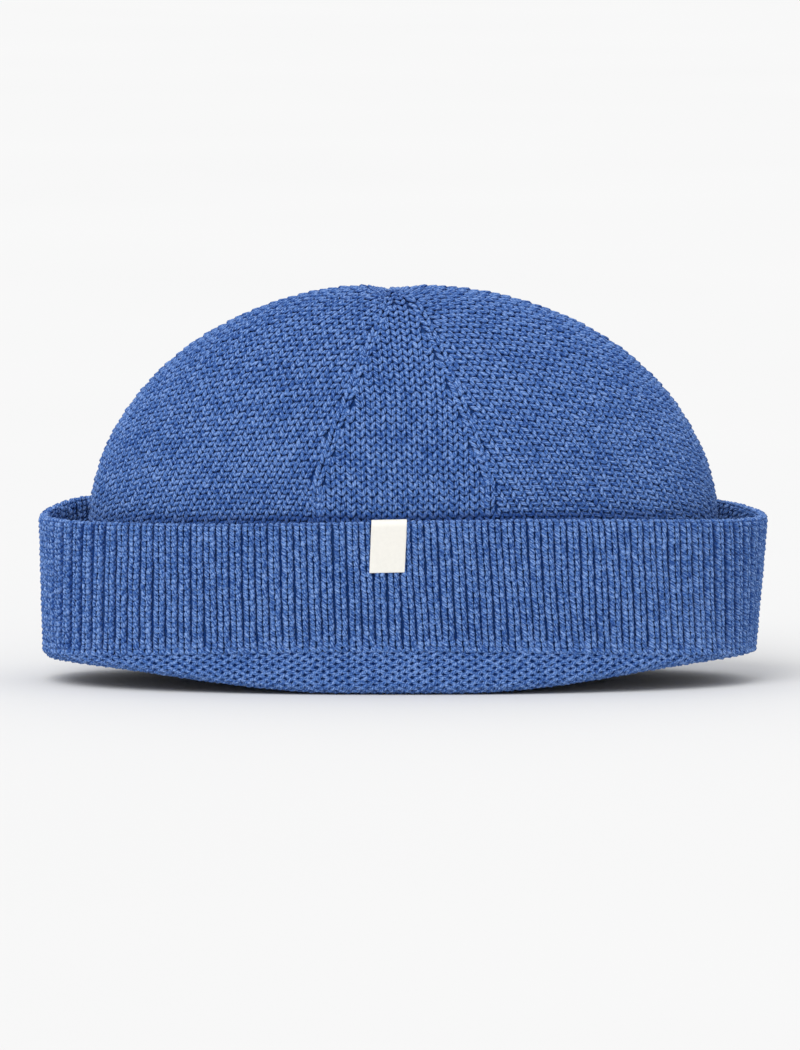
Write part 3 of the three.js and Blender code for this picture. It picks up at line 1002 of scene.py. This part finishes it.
class BEANIE_OT_crown(bpy.types.Operator):
    """Knit the crown's six gores, their decrease lines and the wall behind them"""

    bl_idname = "beanie.crown"
    bl_label = "Crown"

    def execute(self, context):
        knit = context.scene.beanie_knit
        cloth = CrownCloth(YARN_DEPTH)
        yarn = wool("crown_wool")
        for gore in range(GORES):
            self.knit_gore(knit, cloth, gore, yarn)
        self.knit_lines(knit, cloth, yarn)
        self.close_top(yarn)
        ground = crown_ground(BACKING_DEPTH)
        rows = GROUND_TUBE_ROWS + GROUND_DOME_ROWS - 1
        shell = plain_wall("crown_wall", ground, rows, CROWN_WALL - BACKING_DEPTH)
        finish_piece(shell, backing_wool("crown_ground"), "crown_knit", "crown")
        return {"FINISHED"}

    def knit_gore(self, knit, cloth, gore, yarn):
        wale, row = knit.wale, knit.row
        left = cloth.centres[gore]
        widest = np.maximum(left, cloth.widths[gore] - left).max()
        columns = 2 * math.ceil(widest / wale) + 1
        piece, column, level = swatch(
            knit_stitch(wale, row, f"crown_gore_{gore + 1}"), columns, cloth.rows, wale, row
        )
        middle = (columns - 1) / 2
        run = cloth.at_row(cloth.centres, gore, level + 0.5) + (column - middle) * wale
        width = cloth.at_row(cloth.widths, gore, level + 0.5)
        centre = cloth.place(gore, run, level + 0.5, 0.0 * run)
        foot = mix(CROWN_FOOT_MIDDLE, CROWN_FOOT_SIDE, np.abs(centre[:, 0]) / CROWN_HALF_WIDTH)
        doomed = (centre[:, 2] < foot) | (level > cloth.rows - 3)
        doomed |= (run < LINE_CLEARANCE * wale) | (run > width - LINE_CLEARANCE * wale)
        points, tone = unsettle(read_points(piece), wale, row, knit.unevenness, 11 + gore)
        rows = points[:, 1] / row
        sway = GORE_SWAY * wale * wave(points[:, 1] + 3 * MM * gore, gore, 20 * MM)
        run = cloth.at_row(cloth.centres, gore, rows) + points[:, 0] - middle * wale + sway
        self.lay(piece, cloth.place(gore, run, rows, points[:, 2]), tone, doomed, yarn)

    def knit_lines(self, knit, cloth, yarn):
        """The decreases: one larger, raised V on each row along every gore line."""
        wale, row = LINE_SCALE * knit.wale, knit.row
        piece, column, level = swatch(
            knit_stitch(wale, row, "crown_lines"), GORES, cloth.rows, wale, row
        )
        unevenness = LINE_UNEVENNESS * knit.unevenness
        points, tone = unsettle(read_points(piece), wale, row, unevenness, 31)
        points[:, 0] -= column * wale
        placed = np.zeros_like(points)
        for line in range(GORES):
            for after, gore in ((False, line), (True, (line + 1) % GORES)):
                here = (column == line) & ((points[:, 0] >= 0) == after)
                rows = points[here, 1] / row
                run = points[here, 0] + (0 if after else cloth.at_row(cloth.widths, gore, rows))
                placed[here] = cloth.place(gore, run, rows, points[here, 2] + LINE_RISE)
        stitch = level * GORES + column
        highest = np.zeros(GORES * cloth.rows)
        np.maximum.at(highest, stitch, placed[:, 2])
        doomed = (highest[stitch] < LINES_FOOT) | (level > cloth.rows - 2)
        self.lay(piece, placed, tone, doomed, yarn)

    def lay(self, piece, points, tone, doomed, yarn):
        """Puts a swatch in place, without the doomed stitches. The rest get a painted shadow where
        they sink behind the cuff's top edge."""
        write_points(piece, points)
        store(piece, "tone", tone)
        x, y, z = points.T
        near = 1 - np.abs(x / CUFF_TOP_HALF_WIDTH) ** 3
        add_painted_shade(piece, near * ramp(cuff_top(x, y) - z, SHADE_START, SHADE_REACH, SHADE_MOST))
        delete_points(piece, doomed)
        finish_piece(piece, yarn, "crown_knit", "crown")

    def close_top(self, yarn):
        """The last stitches, drawn together into a small star."""
        legs = []
        thick, high = CLOSING_YARN
        for count, radius, reach, height in CLOSING_STARS:
            half_size = (thick * MM, reach * MM, high * MM)
            dimple = DIMPLE_DEPTH * math.exp(-((radius * MM / DIMPLE_RADIUS) ** 2))
            z = CROWN_HEIGHT - YARN_DEPTH - dimple + height * MM
            for turn in np.arange(count) / count * 2 * math.pi:
                x, y = radius * MM * math.cos(turn), radius * MM * math.sin(turn)
                place = (CLOSING_OFFSET + x, y, z)
                legs.append(yarn_loop(half_size, place, turn - math.pi / 2))
        piece = join(legs, "crown_closing")
        store(piece, "deep", np.zeros(len(piece.data.vertices)))
        rng = np.random.default_rng(91)
        store(piece, "tone", rng.random(len(legs)).repeat(LEG_POINTS))
        finish_piece(piece, yarn, "crown_knit", "crown")


# Ribs lie this deep, and inside they start this many rows up, deep in the fold
RIB_SINK = 0.70 * MM
INSIDE_FIRST_ROW = 15
RIB_FOOT_ROWS = 2.5
RIB_FOOT_SPREAD = 0.28

# Towards the cuff's two ends, from this share of its half width, each rib is rounder and
# narrower, and its flanks carry painted shade
CORNER_START = 0.74
CORNER_REACH = 0.14
CORNER_ROUNDING = 0.6 * MM
CORNER_NARROWING = 0.05
FLANK_START = 0.27
FLANK_REACH = 0.14
FLANK_MOST = 0.75

# The wall between the cuff's faces ends at this share of the way up and over its edge
CUFF_WALL_TOP = 0.955
CUFF_WALL_ROWS = 16


class BEANIE_OT_cuff(bpy.types.Operator):
    """Knit the ribbed cuff, outside and inside, and the wall between"""

    bl_idname = "beanie.cuff"
    bl_label = "Cuff"

    def execute(self, context):
        knit = context.scene.beanie_knit
        yarn = wool("cuff_wool")
        ribs, half = knit.ribs, knit.ribs // 2
        outer, length = cuff_cloth(ribs, outside=True)
        inner, _ = cuff_cloth(ribs, outside=False)
        rows = round(length / knit.rib_row)
        self.lay_ribs(knit, yarn, outer, "cuff_ribs_right", rows, 0, half)
        self.lay_ribs(knit, yarn, outer, "cuff_ribs_left", rows, half, ribs - half)
        self.lay_ribs(knit, yarn, inner, "cuff_ribs_inside", rows, 0, ribs, inside=True)
        self.make_wall(ribs, outer)
        return {"FINISHED"}

    def lay_ribs(self, knit, yarn, cloth, name, rows, first, count, inside=False):
        """Knits flat ribs and lays them on a face of the cuff. The inner face's ribs lie
        between the outer ones and start deep in the fold. The outer ones fan out, spread at
        the foot, and are rounder and narrower at the cuff's two ends."""
        row = knit.rib_row
        low = INSIDE_FIRST_ROW if inside else 0
        stitch = rib_stitch(RIB_WALE, row, name)
        piece, column, _ = swatch(stitch, count, rows - low, RIB_WALE, row)
        seed = 41 + first + low
        points, tone = unsettle(read_points(piece), RIB_WALE, row, knit.unevenness, seed)
        store(piece, "tone", tone)
        across, along, height = points.T
        rib = first + column
        local = across / RIB_WALE - column
        sway = 0.05 * wave(along, rib, 30 * MM) + 0.06 * wave(along, 0.2 * rib, 50 * MM)
        level = along / row + low
        up = level * (cloth.points.shape[0] - 1) / rows
        height = height - RIB_SINK
        if inside:
            column = rib + local + 0.5 + sway
        else:
            middle = cloth.place(rib * 2, up, 0 * height)
            corner = ramp(np.abs(middle[:, 0]) / CUFF_TOP_HALF_WIDTH, CORNER_START, CORNER_REACH)
            foot = np.clip(1 - level / RIB_FOOT_ROWS, 0, 1)
            spread = (1 + RIB_FOOT_SPREAD * foot) * (1 - CORNER_NARROWING * corner * (1 - foot))
            column = rib + local * spread + rib_lean(cloth, rib * 2, up) + sway
            height -= corner * CORNER_ROUNDING * (2 * local) ** 2
            # Painted shade on the flanks of the ribs towards the cuff's ends
            add_painted_shade(piece, corner * ramp(np.abs(local), FLANK_START, FLANK_REACH, FLANK_MOST))
        face = cloth.place(column * 2, up, 0 * height)
        height -= self.under_label(face) * LABEL_PRESS
        write_points(piece, cloth.place(column * 2, up, -height if inside else height))
        if inside:
            edit_all(piece, bpy.ops.mesh.flip_normals)
        finish_piece(piece, yarn, "cuff_knit", "cuff")

    @staticmethod
    def under_label(points):
        """1 where the label lies on the ribs, and 0 elsewhere."""
        x, y, z = points.T
        beside = np.abs(x - LABEL_CENTRE) / LABEL_PRESS_HALF_WIDTH
        below = (cuff_top(x, y) - z) / LABEL_DROP
        return np.clip(8 * (1 - beside), 0, 1) * np.clip(8 * (1.03 - below), 0, 1) * (y < 0)

    def make_wall(self, ribs, outer):
        """The ground behind the ribs, which stands up under each rib."""

        def place(column, share):
            row = share * CUFF_WALL_TOP * (outer.points.shape[0] - 1)
            depth = np.where(column % 2 == 0, RIB_BACKING_DEPTH, FURROW_BACKING_DEPTH)
            return outer.place(column + 2 * rib_lean(outer, column, row), row, -depth)

        piece = wall("cuff_wall", 2 * ribs, CUFF_WALL_ROWS, BACKING_THICKNESS, place)
        finish_piece(piece, backing_wool("cuff_ground"), "cuff_knit", "cuff")


# The purl band's rows, its gap below the ribs, how deep it lies, and the ground behind it
PURL_ROWS = 9
PURL_GAP = 0.3 * MM
PURL_SINK = 0.50 * MM
RIM_WALL_ROWS = 22
RIM_WALL_THICKNESS = 0.8 * MM


class BEANIE_OT_turn(bpy.types.Operator):
    """Knit the turned rim, which shows the purl side of the body's knit"""

    bl_idname = "beanie.turn"
    bl_label = "Turned rim"

    def execute(self, context):
        """One swatch of purls and one wall, both laid round the rim."""
        knit = context.scene.beanie_knit
        cloth, length = turn_cloth(knit.ribs, YARN_DEPTH, RIM_STEPS)
        wale, row = RIB_WALE, knit.purl_row
        stitch = purl_stitch(wale, row, "turn_purls")
        piece, _, _ = swatch(stitch, knit.ribs, PURL_ROWS, wale, row)
        points, tone = unsettle(read_points(piece), wale, row, knit.unevenness, 71)
        path = (cloth.points.shape[0] - 1) / length
        low = length - PURL_ROWS * row - PURL_GAP
        up = (points[:, 1] + low) * path
        write_points(piece, cloth.place(points[:, 0] / wale * 2, up, points[:, 2] - PURL_SINK))
        store(piece, "tone", tone)
        finish_piece(piece, wool("turn_wool"), "turned_knit", "turn_band")
        ground, _ = turn_cloth(knit.ribs, BACKING_DEPTH, RIM_BACKING_STEPS)
        shell = plain_wall("turn_wall", ground, RIM_WALL_ROWS, RIM_WALL_THICKNESS)
        finish_piece(shell, backing_wool("turn_ground"), "turned_knit", "turn_band")
        return {"FINISHED"}


# Faces across the label and along it, and how many rows of them surely hang in front
LABEL_COLUMNS = 14
LABEL_ROWS = 52
LABEL_FRONT_ROWS = 10
LABEL_RIPPLE = 0.10 * MM
LABEL_EDGE_ROUNDING = 0.12 * MM


class BEANIE_OT_label(bpy.types.Operator):
    """Fold the bare label over the cuff's top edge"""

    bl_idname = "beanie.label"
    bl_label = "Label"

    def execute(self, context):
        edge = CUFF_WALL / 2 - LABEL_INSET
        front = LABEL_DROP - edge
        over = math.pi * edge
        length = front + over + LABEL_BACK
        deselect()
        bpy.ops.mesh.primitive_grid_add(
            x_subdivisions=LABEL_COLUMNS, y_subdivisions=LABEL_ROWS, size=1.0
        )
        piece = bpy.context.object
        piece.name = "label_tape"
        flat = read_points(piece)
        run = (flat[:, 1] + 0.5) * length
        arc = np.clip((run - front) / edge, 0, math.pi)
        height = np.where(run < front, run - front, 0) + edge * np.sin(arc)
        height = np.where(run > front + over, front + over - run, height)
        offset = -LABEL_INSET - edge * (1 - np.cos(arc))
        along = LABEL_CENTRE + flat[:, 0] * LABEL_WIDTH + LABEL_LEAN * height / front
        top = cuff_top(along, -CUFF_TOP_HALF_DEPTH) - CUFF_WALL / 2
        z = top + height
        share = np.clip((z - PURL_TOP_FRONT) / (CUFF_HEIGHT - PURL_TOP_FRONT), 0, 1)
        half_depth = mix(CUFF_FOOT_HALF_DEPTH, CUFF_TOP_HALF_DEPTH, share)
        half_width = mix(CUFF_FOOT_HALF_WIDTH, CUFF_TOP_HALF_WIDTH, share)
        bow = (1 - np.abs(along / half_width) ** OVAL_POWER) ** (1 / OVAL_POWER)
        ripple = LABEL_RIPPLE * wave(along * 3 + z, 3, 6 * MM)
        write_points(piece, np.stack([along, -half_depth * bow - offset - ripple, z], axis=-1))
        edit_all(piece, bpy.ops.mesh.normals_make_consistent, inside=False)
        in_front = piece.data.polygons[:LABEL_COLUMNS * LABEL_FRONT_ROWS]
        outward = np.mean([face.normal.y for face in in_front]) < 0
        modify(piece, "SOLIDIFY", thickness=LABEL_THICKNESS, offset=1.0 if outward else -1.0,
               use_even_offset=True)
        modify(piece, "BEVEL", width=LABEL_EDGE_ROUNDING, segments=2, limit_method="ANGLE")
        finish_piece(piece, label_cotton("label_cotton"), "label_tape", "label")
        return {"FINISHED"}


# The table's side, the sun's direction, spread and strength, and the pale room's light
TABLE_SIZE = 12.0
SUN_FROM = (-0.55, -1.1, 1.35)
SUN_SPREAD = math.radians(40)
SUN_STRENGTH = 1.5
ROOM_LIGHT = 0.947
SENSOR_WIDTH = 36.0


class BEANIE_OT_stage(bpy.types.Operator):
    """Lay the table and set camera and lights"""

    bl_idname = "beanie.stage"
    bl_label = "Stage"

    def execute(self, context):
        scene = context.scene
        stage = scene.beanie_stage
        deselect()
        bpy.ops.mesh.primitive_plane_add(size=TABLE_SIZE)
        floor = context.object
        floor.name = "table"
        floor.data.materials.append(floor_paint("table_paint"))
        self.camera(scene, stage)
        self.sun()
        world = bpy.data.worlds.new("pale_room")
        world.use_nodes = True
        background = world.node_tree.nodes["Background"]
        background.inputs["Color"].default_value = (1, 1, 1, 1)
        background.inputs["Strength"].default_value = ROOM_LIGHT
        scene.world = world
        scene.view_settings.view_transform = "Standard"
        return {"FINISHED"}

    def camera(self, scene, stage):
        aim = Vector((stage.aim_x, 0, stage.aim_z))
        back = Vector((0, -math.cos(stage.elevation), math.sin(stage.elevation)))
        bpy.ops.object.camera_add(location=aim + back * stage.distance)
        camera = bpy.context.object
        camera.rotation_euler = (-back).to_track_quat("-Z", "Y").to_euler()
        camera.data.sensor_width = SENSOR_WIDTH
        camera.data.lens = SENSOR_WIDTH * stage.distance / stage.frame_height
        camera.data.clip_start = 0.01
        scene.camera = camera

    def sun(self):
        """A wide soft sun, so that the table is lit evenly."""
        bpy.ops.object.light_add(type="SUN", location=SUN_FROM)
        lamp = bpy.context.object
        lamp.name = "key"
        lamp.data.angle = SUN_SPREAD
        lamp.data.energy = SUN_STRENGTH
        lamp.rotation_euler = Vector(SUN_FROM).to_track_quat("Z", "Y").to_euler()


class BEANIE_PT_panel(bpy.types.Panel):
    """Sizes, colours and steps of the beanie"""

    bl_label = "Beanie"
    bl_idname = "BEANIE_PT_panel"
    bl_space_type = "VIEW_3D"
    bl_region_type = "UI"
    bl_category = "Beanie"

    def draw(self, context):
        scene = context.scene
        for group in (scene.beanie_knit, scene.beanie_yarn, scene.beanie_stage):
            box = self.layout.box()
            for name in group.bl_rna.properties.keys():
                if name not in ("rna_type", "name"):
                    box.prop(group, name)
        for operator in OPERATORS:
            self.layout.operator(operator.bl_idname)


GROUPS = {"beanie_knit": BeanieKnit, "beanie_yarn": BeanieYarn, "beanie_stage": BeanieStage}
OPERATORS = (BEANIE_OT_crown, BEANIE_OT_cuff, BEANIE_OT_turn, BEANIE_OT_label, BEANIE_OT_stage)
CLASSES = (*GROUPS.values(), *OPERATORS, BEANIE_PT_panel)


def register():
    for group in CLASSES:
        bpy.utils.register_class(group)
    for name, group in GROUPS.items():
        setattr(bpy.types.Scene, name, PointerProperty(type=group))


def unregister():
    for name in GROUPS:
        delattr(bpy.types.Scene, name)
    for group in reversed(CLASSES):
        bpy.utils.unregister_class(group)


def main():
    register()
    bpy.ops.beanie.crown()
    bpy.ops.beanie.cuff()
    bpy.ops.beanie.turn()
    bpy.ops.beanie.label()
    bpy.ops.beanie.stage()


if __name__ == "__main__":
    main()
